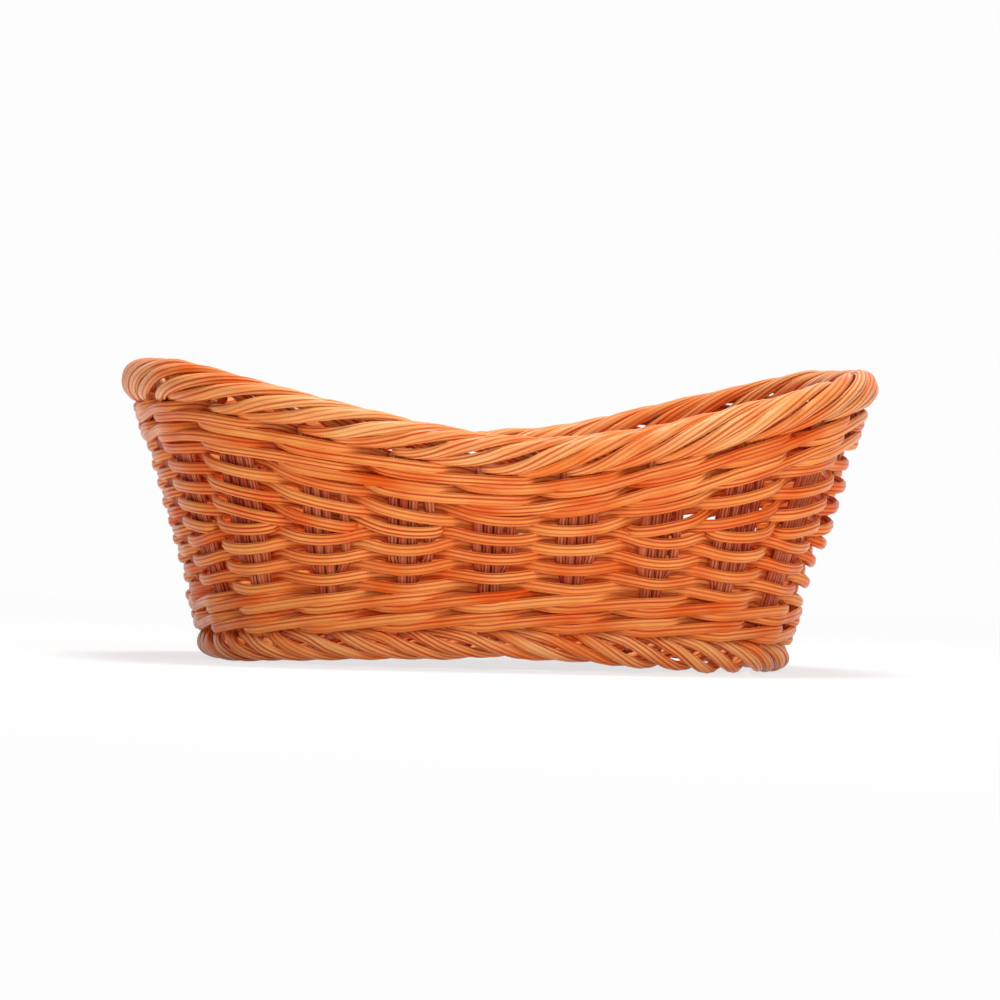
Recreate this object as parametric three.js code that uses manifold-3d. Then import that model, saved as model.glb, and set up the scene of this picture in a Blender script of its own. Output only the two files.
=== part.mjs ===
// Bread basket woven from ribbed plastic cane, in millimetres, +Z up.
// The long axis is X and the front faces -Y. The origin is on the table under the middle of the basket.
//
// The wall is a flared, rounded rectangle with high ends and low long sides. Twenty-two upright stakes
// stand in it, each a flat bundle of strands. Round them run, from the foot to the rim: a wale of three
// strands, two chasing weavers in plain weave, short packing rows that build up the ends, two more chasing
// weavers, and a second wale.
// The stakes' lower ends are rolled into the foot and their upper ends into the rope-like rim.

import * as THREE from 'three';
import { mergeVertices } from 'three/addons/utils/BufferGeometryUtils.js';
import Module from 'manifold-3d';

// Wall
const wallHalfLength = 117; // middle of the wall at wallLevel, along X
const wallHalfWidth = 90; // the same along Y
const wallLevel = 50; // height at which the two sizes above are taken
const wallRoundness = 2.7; // exponent of the outline: 2 is an ellipse, more is squarer
const wallFlare = THREE.MathUtils.degToRad(17); // lean of the wall away from upright
const rimHeightMiddle = 80; // centre of the rim rope at the middle of a long side
const rimHeightEnd = 107; // the same at the ends
const footArch = 4; // how far the foot rises at the middle of a long side
const saddlePower = 1.6; // how the rim climbs from the middle to the ends
const saddleReach = 0.96; // share of the half length at which the climb is done

// Ropes made of the stakes' ends
const rimRopeRadius = 7;
const footRopeRadius = 7;
const ropeStrandThickness = 3.9; // across the rope
const rimStrandWidth = 4.9; // round the rope
const footStrandWidth = 4.2;
const rimSweep = THREE.MathUtils.degToRad(270); // from under the rope, out, over and in
const rimAdvance = 2.1; // stake spacings that a strand runs on while it does so
const footSweep = THREE.MathUtils.degToRad(300); // from over the foot, out, under and up inside
const footAdvance = 1.8;
const strandRoot = 0.75; // size of a rope strand where it leaves the bundle, as a share of its full size
const strandApart = 0.5; // stake spacings between the two strands of one stake along a rope
const strandSpread = 0.25; // share of its way round in which a strand moves there from the bundle
const rimStrandSteps = 5;
const footStrandSteps = 5;
const floorCut = 0.5; // the strands that the basket stands on are flat by this much

// Stakes
const stakeCount = 22;
const strandPitch = 3.8; // strands lying side by side in a bundle
const lowerBundleStrands = 2;
const upperBundleStrands = 4;
const bundleThickness = 3.6;
const bundleTaper = 14; // height over which the two added strands come in

// Weavers
const clearance = 0.3; // between pieces that touch
const weaverThickness = 3;
const waleRows = 2;
const waleRowHeight = 7.3;
const waleMargin = 0.8; // between a wale and the plain weave or the rim, where its strands rise and fall
const lowerRows = 6; // plain rows under the packing
const upperRows = 2; // plain rows over it
const packingPairs = 4; // short rows at each end, in pairs
const rowSlack = 0.35; // a plain row's height less its strand's
const turnReach = 3.6; // how far a turning strand swings out past a stake
const edgeMargin = 0.8; // a weaver stays flat this far past a stake's edge
const mitreLimit = 0.75; // cosine of the sharpest half bend at which a strand keeps its thickness

// Base
const baseLevel = 9.5;
const baseStickCount = 6;
const baseStickThickness = 3.2;
const baseTapeThickness = 2.6;
const baseTapeCount = 10;
const baseSideGap = 4; // between the outermost tape and the foot, where it bulges most

// Colours
const strandColour = 0xe0752a;
const stakeColour = 0xa65a38;
const baseColour = 0xc96a2c;

// Outline of the wall at wallLevel, as a table of points at equal angles with the length run so far.
// A place on it is counted in stake spacings from the middle of the front, to the right.
const outlineSteps = 2880;
const outline = [];
let outlineLength = 0;
for (let i = 0; i <= outlineSteps; i += 1) {
  const angle = -Math.PI / 2 + (2 * Math.PI * i) / outlineSteps;
  const x = wallHalfLength * signedPower(Math.cos(angle), 2 / wallRoundness);
  const y = wallHalfWidth * signedPower(Math.sin(angle), 2 / wallRoundness);
  if (i > 0) {
    const last = outline[i - 1];
    outlineLength += Math.hypot(x - last.x, y - last.y);
  }
  outline.push({ x, y, run: outlineLength });
}
const quarter = stakeCount / 4; // place of the right-hand end

function signedPower(value, power) {
  return Math.sign(value) * Math.abs(value) ** power;
}

function clamp(value) {
  return Math.min(1, Math.max(0, value));
}

// Point of the outline at a place, with its outward normal.
function outlineAt(place) {
  const turn = place / stakeCount - Math.floor(place / stakeCount);
  const run = turn * outlineLength;
  let low = 0;
  let high = outlineSteps;
  while (high - low > 1) {
    const middle = (low + high) >> 1;
    if (outline[middle].run <= run) low = middle;
    else high = middle;
  }
  const from = outline[low];
  const to = outline[high];
  const share = (run - from.run) / (to.run - from.run);
  const x = from.x + share * (to.x - from.x);
  const y = from.y + share * (to.y - from.y);
  const slopeX = signedPower(x / wallHalfLength, wallRoundness - 1) / wallHalfLength;
  const slopeY = signedPower(y / wallHalfWidth, wallRoundness - 1) / wallHalfWidth;
  const size = Math.hypot(slopeX, slopeY);
  return { x, y, outX: slopeX / size, outY: slopeY / size };
}

// Point of the wall at a place and height, set out from its middle by depth.
function wallPoint(place, height, depth = 0) {
  const at = outlineAt(place);
  const out = (height - wallLevel) * Math.tan(wallFlare) + depth * Math.cos(wallFlare);
  const level = height - depth * Math.sin(wallFlare);
  return new THREE.Vector3(at.x + at.outX * out, at.y + at.outY * out, level);
}

// Direction up the leaning wall.
function upWall(place) {
  const at = outlineAt(place);
  const out = Math.sin(wallFlare);
  return new THREE.Vector3(at.outX * out, at.outY * out, Math.cos(wallFlare));
}

// How far a length along the wall goes, counted in stake spacings.
function placeStep(place, height, length) {
  const probe = 0.2;
  const span = wallPoint(place + probe, height).distanceTo(wallPoint(place - probe, height));
  return (length * 2 * probe) / span;
}

// 0 at the middle of the long sides, 1 at the ends.
function saddle(place) {
  const share = Math.abs(outlineAt(place).x) / wallHalfLength;
  return Math.min(1, share / saddleReach) ** saddlePower;
}

function rimHeight(place) {
  return rimHeightMiddle + (rimHeightEnd - rimHeightMiddle) * saddle(place);
}

// The foot's strands run straight across its top and underside, in the middle of a step.
const footStep = footSweep / footStrandSteps;
const footReach = footRopeRadius * Math.cos(footStep / 2);

function footHeight(place) {
  return footReach - floorCut + footArch * (1 - saddle(place));
}

// The lower wale lies on the foot and the upper one under the rim.
function lowerWaleBottom(place) {
  return footHeight(place) + footReach + clearance;
}

function upperWaleBottom(place) {
  return rimHeight(place) - rimRopeRadius - waleMargin - waleRows * waleRowHeight;
}

// The plain weave fills the wall from the lower wale to the upper one.
function weaveBottom(place) {
  return lowerWaleBottom(place) + waleRows * waleRowHeight + waleMargin;
}

function weaveTop(place) {
  return upperWaleBottom(place) - waleMargin;
}

// Stakes from the middle of the nearer long side, and whether that side is the front.
function fromMiddle(place) {
  const turn = ((place % stakeCount) + stakeCount) % stakeCount;
  const front = turn <= quarter || turn >= 3 * quarter;
  const middle = front ? 0 : stakeCount / 2;
  const along = Math.min(Math.abs(turn - middle), Math.abs(turn - middle - stakeCount));
  return { along, front };
}

// Number of plain rows at a place. Packing rows come in where they turn back at a stake: two at each turn
// on the front. On the back each turn comes a stake later, so three come in first and one last.
// The rows close up between the stake before a turn and the turn itself.
const closeFrom = 0.5; // stake spacings past the middle between two stakes
const closeLength = 0.6;

function rowCount(place) {
  const { along, front } = fromMiddle(place);
  let rows = lowerRows + upperRows;
  for (let pair = 0; pair < packingPairs; pair += 1) {
    let added = 2;
    if (!front && pair === 0) added = 3;
    if (!front && pair === packingPairs - 1) added = 1;
    rows += added * clamp((along - pair - closeFrom) / closeLength);
  }
  return rows;
}

function rowPitch(place) {
  return (weaveTop(place) - weaveBottom(place)) / rowCount(place);
}

// Stakes: width of the bundle at a height, and where a strand that passes it leaves it.
function bundleWidth(place, height) {
  const added = clamp((height - weaveBottom(place)) / bundleTaper);
  return strandPitch * (lowerBundleStrands + (upperBundleStrands - lowerBundleStrands) * added);
}

function stakePlace(index) {
  return index + 0.5;
}

// Distance of a weaver's middle from the wall's middle where it passes a stake.
const weaverDepth = bundleThickness / 2 + clearance + weaverThickness / 2;

function edgeStep(place, height) {
  return placeStep(place, height, bundleWidth(place, height) / 2 + edgeMargin);
}

// Closed solid through rings of points, all with the same number of points, capped at both ends.
function loft(rings) {
  const sides = rings[0].length;
  const positions = rings.flat().flatMap((point) => [point.x, point.y, point.z]);
  const triangles = [];
  for (let i = 0; i < rings.length - 1; i += 1) {
    for (let j = 0; j < sides; j += 1) {
      const a = i * sides + j;
      const b = i * sides + ((j + 1) % sides);
      triangles.push(a, a + sides, b, b, a + sides, b + sides);
    }
  }
  const end = (rings.length - 1) * sides;
  for (let j = 1; j < sides - 1; j += 1) {
    triangles.push(0, j, j + 1, end, end + j + 1, end + j);
  }
  const geometry = new THREE.BufferGeometry();
  geometry.setAttribute('position', new THREE.Float32BufferAttribute(positions, 3));
  geometry.setIndex(triangles);
  return geometry;
}

// Strand through samples. Each sample has a point, the direction of its height, and its height.
// The section is four-sided, with an edge on each side, above and below.
function strand(samples, thickness) {
  const rings = samples.map((sample, i) => {
    const before = samples[Math.max(i - 1, 0)].point;
    const after = samples[Math.min(i + 1, samples.length - 1)].point;
    const arrive = sample.point.clone().sub(before).normalize();
    const leave = after.clone().sub(sample.point).normalize();
    const along = arrive.clone().add(leave).normalize();
    const inside = i > 0 && i < samples.length - 1;
    const mitre = inside ? 1 / Math.max(mitreLimit, along.dot(leave)) : 1;
    const side = along.cross(sample.up).normalize().multiplyScalar((mitre * thickness) / 2);
    const up = sample.up.clone().multiplyScalar(sample.height / 2);
    return [
      sample.point.clone().add(side),
      sample.point.clone().add(up),
      sample.point.clone().sub(side),
      sample.point.clone().sub(up),
    ];
  });
  return loft(rings);
}

// Solids that are joined or cut, and back to a geometry.
const wasm = await Module();
wasm.setup();

function toSolid(geometry) {
  const bare = geometry.index ? geometry.clone() : mergeVertices(geometry);
  const vertProperties = new Float32Array(bare.attributes.position.array);
  const triVerts = new Uint32Array(bare.index.array);
  return new wasm.Manifold(new wasm.Mesh({ numProp: 3, vertProperties, triVerts }));
}

function toGeometry(solid) {
  const mesh = solid.getMesh();
  const geometry = new THREE.BufferGeometry();
  geometry.setAttribute('position', new THREE.BufferAttribute(mesh.vertProperties, mesh.numProp));
  geometry.setIndex(new THREE.BufferAttribute(mesh.triVerts, 1));
  return geometry;
}

// Strand wound on a rope: it goes round the rope's centre line from one angle to another.
// Angle 0 is outward and a quarter turn is up.
function ropeStrand(centreHeight, radius, width, startPlace, spread, advance, startAngle, sweep, steps) {
  const samples = [];
  for (let i = 0; i <= steps; i += 1) {
    const share = i / steps;
    const place = startPlace + spread * Math.min(1, share / strandSpread) + advance * share;
    const angle = startAngle + sweep * share;
    const at = outlineAt(place);
    const radial = new THREE.Vector3(
      at.outX * Math.cos(angle),
      at.outY * Math.cos(angle),
      Math.sin(angle),
    );
    const point = wallPoint(place, centreHeight(place));
    point.addScaledVector(radial, radius - ropeStrandThickness / 2);
    samples.push({ point, radial });
  }
  const rings = samples.map((sample, i) => {
    const before = samples[Math.max(i - 1, 0)].point;
    const after = samples[Math.min(i + 1, steps)].point;
    const along = after.clone().sub(before).normalize();
    const size = i === 0 ? strandRoot : 1;
    const side = along.cross(sample.radial).normalize().multiplyScalar((size * width) / 2);
    const out = sample.radial.clone().multiplyScalar((size * ropeStrandThickness) / 2);
    return [
      sample.point.clone().add(side),
      sample.point.clone().add(out),
      sample.point.clone().sub(side),
      sample.point.clone().sub(out),
    ];
  });
  return loft(rings);
}

// One stake: the flat bundle in the wall, two strands rolled into the rim and two into the foot.
const floorBlock = new THREE.BoxGeometry(4 * wallHalfLength, 4 * wallHalfWidth, 2 * footRopeRadius);
floorBlock.deleteAttribute('normal');
floorBlock.deleteAttribute('uv');
floorBlock.translate(0, 0, -footRopeRadius);
const belowFloor = toSolid(mergeVertices(floorBlock));

function bundle(place) {
  const bottom = footHeight(place) + footReach - ropeStrandThickness;
  const top = rimHeight(place) - rimRopeRadius + ropeStrandThickness;
  const narrowTo = weaveBottom(place);
  const levels = [bottom, narrowTo, narrowTo + bundleTaper, top];
  const rings = levels.map((height) => {
    const half = placeStep(place, height, bundleWidth(place, height) / 2);
    const face = bundleThickness / 2;
    return [
      wallPoint(place - half, height, -face),
      wallPoint(place + half, height, -face),
      wallPoint(place + half, height, face),
      wallPoint(place - half, height, face),
    ];
  });
  return loft(rings);
}

function stake(index) {
  const place = stakePlace(index);
  const rimStart = placeStep(place, rimHeight(place), (strandPitch * (upperBundleStrands - 1)) / 2);
  const footStart = placeStep(place, footHeight(place), (strandPitch * (lowerBundleStrands - 1)) / 2);
  let solid = toSolid(bundle(place));
  for (const side of [-1, 1]) {
    const up = ropeStrand(
      rimHeight, rimRopeRadius, rimStrandWidth,
      place + side * rimStart, side * (strandApart / 2 - rimStart), rimAdvance,
      -Math.PI / 2, rimSweep, rimStrandSteps,
    );
    const down = ropeStrand(
      footHeight, footRopeRadius, footStrandWidth,
      place + side * footStart, side * (strandApart / 2 - footStart), footAdvance,
      (Math.PI + footStep) / 2, -footSweep, footStrandSteps,
    );
    solid = solid.add(toSolid(up)).add(toSolid(down));
  }
  return toGeometry(solid.subtract(belowFloor));
}

// Sample of a weaver's middle line, in front of the stakes or behind them.
function weaverSample(place, height, front, strandHeight) {
  return {
    point: wallPoint(place, height, front ? weaverDepth : -weaverDepth),
    up: upWall(place),
    height: strandHeight,
  };
}

// The weavers that go all round start behind a stake just right of the middle of the back, and climb to
// their next row in the gap before that stake.
const firstStake = stakeCount / 2;

// The three strands of a wale start behind stakes that follow each other.
function waleStart(number) {
  return (3 - number) % 3;
}

// Three-strand wale: each strand passes in front of two stakes and behind the third. In front it starts low
// and rises by half a row for each stake.
function waleStrand(number, rowBottom) {
  const samples = [];
  const passes = waleRows * stakeCount;
  const start = waleStart(number);
  const end = start + 3 * Math.floor((passes - 1 - start) / 3);
  for (let pass = start; pass <= end; pass += 1) {
    const place = stakePlace(firstStake + pass);
    const row = Math.floor(pass / stakeCount);
    const phase = (pass + number) % 3;
    const edge = edgeStep(place, rowBottom(place) + (row + 0.5) * waleRowHeight);
    for (const side of [-1, 1]) {
      const at = place + side * edge;
      let rise = side * edge - 0.5;
      if (phase === 2) rise = side * edge + 0.5;
      if (phase === 0) rise = side * (edge - 0.5);
      const height = rowBottom(at) + (row + 0.5 + rise / 2) * waleRowHeight;
      samples.push(weaverSample(at, height, phase !== 0, waleRowHeight / 2 - clearance));
    }
  }
  return samples;
}

// Height of a plain row that goes all round: the lower rows lie on the lower wale, the upper ones hang
// under the upper wale.
function plainRowHeight(place, row) {
  const pitch = rowPitch(place);
  if (row < lowerRows) return weaveBottom(place) + (row + 0.5) * pitch;
  return weaveTop(place) - (lowerRows + upperRows - row - 0.5) * pitch;
}

// Packing rows lie under the upper plain rows, so the longest is on top.
function packingRowHeight(place, row) {
  return weaveTop(place) - (upperRows + 2 * packingPairs - row - 0.5) * rowPitch(place);
}

// Samples of a weaver in plain weave at the two edges of a stake, in the order in which it meets them.
function plainPass(place, heading, rowHeight, row, front) {
  const edge = edgeStep(place, rowHeight(place, row));
  return [-heading, heading].map((side) => {
    const at = place + side * edge;
    return weaverSample(at, rowHeight(at, row), front, rowPitch(at) - rowSlack);
  });
}

// One of two chasing weavers in plain weave. The second starts one stake later and one row higher.
function plainWeaver(number, firstRow, rows) {
  const samples = [];
  const passes = (rows / 2) * stakeCount - (1 - number);
  for (let pass = number; pass < passes; pass += 1) {
    const place = stakePlace(firstStake + pass);
    const row = firstRow + 2 * Math.floor(pass / stakeCount) + number;
    const front = (pass + number) % 2 === 1;
    samples.push(...plainPass(place, 1, plainRowHeight, row, front));
  }
  return samples;
}

// Sample part of the way from one to the next.
function between(from, to, share) {
  return {
    point: from.point.clone().lerp(to.point, share),
    up: from.up.clone().lerp(to.up, share).normalize(),
    height: from.height + (to.height - from.height) * share,
  };
}

// A weaver's rounds are separate lengths of strand, end to end in the gap where it climbs to its next row.
function rounds(samples, firstPass) {
  const lengths = [];
  let current = [];
  for (let i = 0; i < samples.length; i += 1) {
    current.push(samples[i]);
    const pass = firstPass + Math.floor(i / 2);
    const last = i === samples.length - 1;
    const climbs = i % 2 === 1 && pass % stakeCount === stakeCount - 1;
    if (climbs && !last) {
      const from = samples[i];
      const to = samples[i + 1];
      const gap = clearance / 2 / from.point.distanceTo(to.point);
      current.push(between(from, to, 0.5 - gap));
      lengths.push(strand(current, weaverThickness));
      current = [between(from, to, 0.5 + gap)];
    }
  }
  lengths.push(strand(current, weaverThickness));
  return lengths;
}

// Packing weaver of one end: it goes to and fro round the end, one stake further each time, and turns
// back round a stake. Direction is 1 at the right-hand end and -1 at the left-hand one.
function packingWeaver(endStake, direction) {
  const samples = [];
  const rows = 2 * packingPairs;
  let reach = 1; // stakes from the end's middle stake
  let heading = -direction; // towards the front
  for (let row = 0; row < rows; row += 1) {
    const from = endStake - heading * reach;
    if (heading === direction && row < rows - 1) reach += 1;
    const to = endStake + heading * reach;
    for (let index = from; heading * (to - index) >= 0; index += heading) {
      const place = stakePlace(index);
      const front = (((index - firstStake + row) % 2) + 2) % 2 === 1;
      samples.push(...plainPass(place, heading, packingRowHeight, row, front));
    }
    if (row < rows - 1) samples.push(turnSample(to, heading, row));
    heading = -heading;
  }
  return strand(samples, weaverThickness);
}

// The outermost point of a turn, past a stake's edge and between two rows.
function turnSample(index, heading, row) {
  const place = stakePlace(index);
  const level = packingRowHeight(place, row);
  const reach = bundleWidth(place, level) / 2 + turnReach;
  const at = place + heading * placeStep(place, level, reach);
  return {
    point: wallPoint(at, (packingRowHeight(at, row) + packingRowHeight(at, row + 1)) / 2),
    up: upWall(at),
    height: rowPitch(at) - rowSlack,
  };
}

// Base: sticks across it, and tapes of strands side by side woven lengthwise over and under them.
const baseDepth = footRopeRadius + clearance; // from the foot rope's middle to the base's edge

// Half length of the base along X, at a distance from the long axis.
function baseHalfLength(distance) {
  const halvings = 30;
  let low = 0;
  let high = quarter;
  for (let i = 0; i < halvings; i += 1) {
    const middle = (low + high) / 2;
    if (-baseEdge(middle).y > distance) low = middle;
    else high = middle;
  }
  return baseEdge(low).x;
}

function baseEdge(place) {
  const at = outlineAt(place);
  const middle = wallPoint(place, footHeight(place));
  return { x: middle.x - at.outX * baseDepth, y: middle.y - at.outY * baseDepth };
}

const stickWidth = strandPitch * lowerBundleStrands;

function baseStickPlace(index) {
  return stakePlace(index - baseStickCount / 2);
}

function baseStick(index) {
  const edge = baseEdge(baseStickPlace(index));
  const geometry = new THREE.BoxGeometry(stickWidth, -2 * edge.y, baseStickThickness);
  geometry.deleteAttribute('normal');
  geometry.deleteAttribute('uv');
  geometry.translate(edge.x, 0, baseLevel);
  return mergeVertices(geometry);
}

const tapePitch = (2 * (-baseEdge(0).y - baseSideGap)) / baseTapeCount;
const tapeWidth = tapePitch - clearance;
const tapeRise = baseStickThickness / 2 + clearance + baseTapeThickness / 2;

function baseTape(index) {
  const y = (index - (baseTapeCount - 1) / 2) * tapePitch;
  const passing = stickWidth / 2 + edgeMargin;
  let reach = baseHalfLength(Math.abs(y) + tapeWidth / 2);
  for (let stick = 0; stick < baseStickCount; stick += 1) {
    const x = baseEdge(baseStickPlace(stick)).x;
    if (Math.abs(x - reach) < passing) reach = x - passing;
  }
  const samples = [{ x: -reach, rise: 0 }];
  for (let stick = 0; stick < baseStickCount; stick += 1) {
    const x = baseEdge(baseStickPlace(stick)).x;
    if (Math.abs(x) + passing < reach) {
      const rise = (index + stick) % 2 === 0 ? tapeRise : -tapeRise;
      samples.push({ x: x - passing, rise });
      samples.push({ x: x + passing, rise });
    }
  }
  samples.push({ x: reach, rise: 0 });
  const rings = samples.map((sample) => {
    const z = baseLevel + sample.rise;
    const halfWidth = tapeWidth / 2;
    const halfThickness = baseTapeThickness / 2;
    return [
      new THREE.Vector3(sample.x, y - halfWidth, z - halfThickness),
      new THREE.Vector3(sample.x, y - halfWidth, z + halfThickness),
      new THREE.Vector3(sample.x, y + halfWidth, z + halfThickness),
      new THREE.Vector3(sample.x, y + halfWidth, z - halfThickness),
    ];
  });
  return loft(rings);
}

// Assembly
const basket = new THREE.Group();

function addPiece(name, geometry, colour) {
  const material = new THREE.MeshStandardMaterial({ color: colour, roughness: 0.5, metalness: 0 });
  const mesh = new THREE.Mesh(geometry, material);
  mesh.name = name;
  basket.add(mesh);
}

function twoDigits(number) {
  return String(number).padStart(2, '0');
}

for (let index = 0; index < stakeCount; index += 1) {
  addPiece(`stake_${twoDigits(index + 1)}`, stake(index), stakeColour);
}
for (const [level, rowBottom] of [['lower', lowerWaleBottom], ['upper', upperWaleBottom]]) {
  for (let number = 0; number < 3; number += 1) {
    rounds(waleStrand(number, rowBottom), waleStart(number)).forEach((length, round) => {
      addPiece(`${level}_wale_${'abc'[number]}_${round + 1}`, length, strandColour);
    });
  }
}
for (let number = 0; number < 2; number += 1) {
  const lower = rounds(plainWeaver(number, 0, lowerRows), number);
  const upper = rounds(plainWeaver(number, lowerRows, upperRows), number);
  [...lower, ...upper].forEach((length, round) => {
    addPiece(`plain_row_${2 * round + number + 1}`, length, strandColour);
  });
}
addPiece('end_packing_right', packingWeaver(quarter - 0.5, 1), strandColour);
addPiece('end_packing_left', packingWeaver(3 * quarter - 0.5, -1), strandColour);
for (let index = 0; index < baseStickCount; index += 1) {
  addPiece(`base_stick_${index + 1}`, baseStick(index), baseColour);
}
for (let index = 0; index < baseTapeCount; index += 1) {
  addPiece(`base_weaver_${twoDigits(index + 1)}`, baseTape(index), baseColour);
}

export default basket;
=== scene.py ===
"""Bread basket woven from ribbed plastic cane, every strand with its ribs.

Lengths are in millimetres until a mesh is made, and those of the surroundings are in metres. A place on the
wall is counted in stake spacings from the middle of the front, to the right.
"""

import math
import random

import bpy
import numpy as np
from mathutils import Matrix, Vector


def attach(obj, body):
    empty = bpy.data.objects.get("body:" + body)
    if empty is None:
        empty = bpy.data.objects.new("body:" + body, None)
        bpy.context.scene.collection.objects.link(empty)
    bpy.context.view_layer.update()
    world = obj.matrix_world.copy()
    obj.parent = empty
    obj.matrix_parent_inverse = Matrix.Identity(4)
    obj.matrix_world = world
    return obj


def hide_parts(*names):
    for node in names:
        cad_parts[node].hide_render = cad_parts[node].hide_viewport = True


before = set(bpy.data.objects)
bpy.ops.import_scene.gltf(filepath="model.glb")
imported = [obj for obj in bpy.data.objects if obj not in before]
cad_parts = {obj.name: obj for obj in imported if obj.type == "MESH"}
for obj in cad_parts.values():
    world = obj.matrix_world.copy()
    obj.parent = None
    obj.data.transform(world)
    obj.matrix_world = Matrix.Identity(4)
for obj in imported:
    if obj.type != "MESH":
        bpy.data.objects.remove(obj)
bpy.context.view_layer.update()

METRE = 0.001  # one millimetre in metres
SEED = 7  # of all the unevenness

# Wall
WALL_HALF_LENGTH = 118.5
WALL_HALF_WIDTH = 90.0
WALL_LEVEL = 50.0  # height at which the wall has that length and width
WALL_ROUNDNESS = 2.7  # 2 is an ellipse, more is boxier
WALL_FLARE = math.radians(17)
RIM_HEIGHT_MIDDLE = 80.0
RIM_HEIGHT_END = 107.0
RIM_LEAN = 1.9  # the rim stands this much higher at the right-hand end and lower at the left
FOOT_ARCH = 4.0  # the foot stands this much higher at the middle of the long sides
SADDLE_POWER = 1.6  # 1 is a straight rise to the ends, more is hollower
SADDLE_REACH = 0.96  # share of the half length at which the rim reaches its full height
OUTLINE_POINTS = 2881  # of the table that places are looked up in

# Ropes made of the stakes' ends
RIM_RADIUS = 7.0
RIM_UNDERSIDE = 8.3  # half height of the rim below its middle line, down to the wale
RIM_SWELLS = ((17.0, 1.5, 1.2), (10.6, 0.6, 1.8))  # place, length and size of each looser, thicker part
FOOT_RADIUS = 7.0
FOOT_TOP = 6.8  # half height of the foot above its middle line, up to the wale
FOOT_UNDERSIDE = 5.2  # and below it, where it stands on the floor
FOOT_REACH = FOOT_RADIUS * math.cos(math.radians(30))  # half height of a foot wound in six flat steps
FLOOR_CUT = 0.5  # how far the foot is pressed flat on the floor
FOOT_SAG_PLACE = 2.4  # right of the middle of the front the foot hangs down to the floor
FOOT_SAG_LENGTH = 1.4
FOOT_SAG = 0.9  # as a share of the way down to the floor
ROPE_THICK = 3.8  # of a cane wound on a rope, and its width on the rim and on the foot
RIM_WIDE = 5.3
FOOT_WIDE = 4.7
RIM_START = math.radians(-100)  # 0 is outward and a quarter turn is up
RIM_SWEEP = math.radians(325)
RIM_ADVANCE = 2.62  # stake spacings that a cane runs on along the rope
FOOT_START = math.radians(115)
FOOT_SWEEP = math.radians(315)
FOOT_ADVANCE = 1.96
CANES_APART = 0.5  # stake spacings between the two canes of one stake along a rope
ROPE_GATHER = 0.25  # share of its way in which a cane moves there from its bundle
ROPE_STEPS = 30

# Stakes
STAKE_COUNT = 22
CANE_PITCH = 3.8  # width of a cane, from one to the next in a bundle
CANE_THICK = 3.3
STAKE_CANES = (-0.5, 0.5)  # where a stake's own two canes lie across it, in cane pitches
ADDED_CANES = (-1.5, 1.5)  # and the two pushed in beside them
BUNDLE_CANES = (-1.5, -0.5, 0.5, 1.5)  # all four, from left to right
ADDED_AT_ROOT = 0.6  # where an added cane's root lies instead, on either side
ROOT_BEHIND = 2.5  # and how far behind the stake's own canes
BUNDLE_TAPER = 14.0  # height in which the bundle goes from two canes wide to four
BYE_STAKE_ROOT = 4.0  # how far the added canes reach down into the wale
STAKE_STEPS = 16
STAKE_NECK = 4.0  # length of a stake between its bundle, which the wale hides, and its rope
NECK_OVERLAP = 1.0  # the neck reaches this far into the bundle

# Weavers
FIRST_STAKE = STAKE_COUNT // 2  # the first that they pass, next to the middle of the back
CLEARANCE = 0.3  # between the foot and what lies on it or inside it
WEAVER_TALL = 4.6
WEAVER_THICK = 3.0
WEAVER_DEPTH = 3.3  # from the wall's middle to a weaver's middle where it passes a stake
WEAVER_BULGE = 0.5  # further out at the middle of a stake
EDGE_MARGIN = 0.8  # a weaver leaves a stake this far past its edge
TAIL = 0.75  # stake spacings from a weaver's first or last stake to its free end
RISE_IN_GAP = 0.4  # how much higher than its row a weaver lies half way between two stakes
SAG_IN_FRONT = 0.9  # and how much lower in front of a stake
SAG_BEHIND = 2.0
WIDER_BEHIND = 0.5  # a weaver is squeezed flatter behind a stake
WALE_ROWS = 2
WALE_ROW_HEIGHT = 7.3
WALE_MARGIN = 0.8  # between a wale and the rows or the rim next to it
WALE_TALL = 4.4
WALE_RISE_AT_STAKE = (0.0, -0.5, 0.5)  # in half rows, behind a stake and in front of the next two
WALE_RISE_BEFORE_STAKE = (0.6, -0.6, 0.0)  # and half way from the stake before each of them
WALE_TAIL_RISE = 0.7  # and at its free ends, down at the first and up at the last
WALE_RAISED = 0.6  # the upper wale is pushed up this much under the rim
WALE_STANDS_OUT = 1.0  # the wales lie this much further out than the plain rows
PACKING_STANDS_OUT = 1.6  # and so does the looser packing at the right-hand end
STEEPNESS = 1.35  # a wale's strand needs one part in this many of a gap to go through the wall
LOWER_ROWS = 6  # plain rows under the packing
UPPER_ROWS = 2  # and over it
PACKING_PAIRS = 4  # times that the packing goes to and fro
TURN_REACH = 3.4  # how far a turn stands past a stake's edge
CLOSE_FROM = 1.0  # stake spacings past the middle between two stakes, where rows close up before a turn
CLOSE_LENGTH = 0.5  # and in which they do
ROWS_SPREAD = 0.8  # the plain rows reach this much further up and down, as far as the wales

# Base
BASE_LEVEL = 9.5  # of the sticks' middle
BASE_DEPTH = FOOT_RADIUS + CLEARANCE  # from the foot's middle line to the base's edge
BASE_STICKS = 6
BASE_STICK_THICK = 3.2
BASE_STICK_STEPS = 24
BASE_TAPES = 10  # sets of canes that lie side by side
BASE_TAPE_CANES = 3
BASE_CANE_THICK = 2.4
BASE_CANE_STEPS = 80
BASE_CANE_SOFTNESS = 6  # rounds of taking the corners off a cane that bends over a stick
BASE_CLEARANCE = 0.1
BASE_SIDE_GAP = 4.0  # from the base's edge to the outer tape, at the middle of the long sides
BASE_EDGE_POINTS = 400

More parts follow.
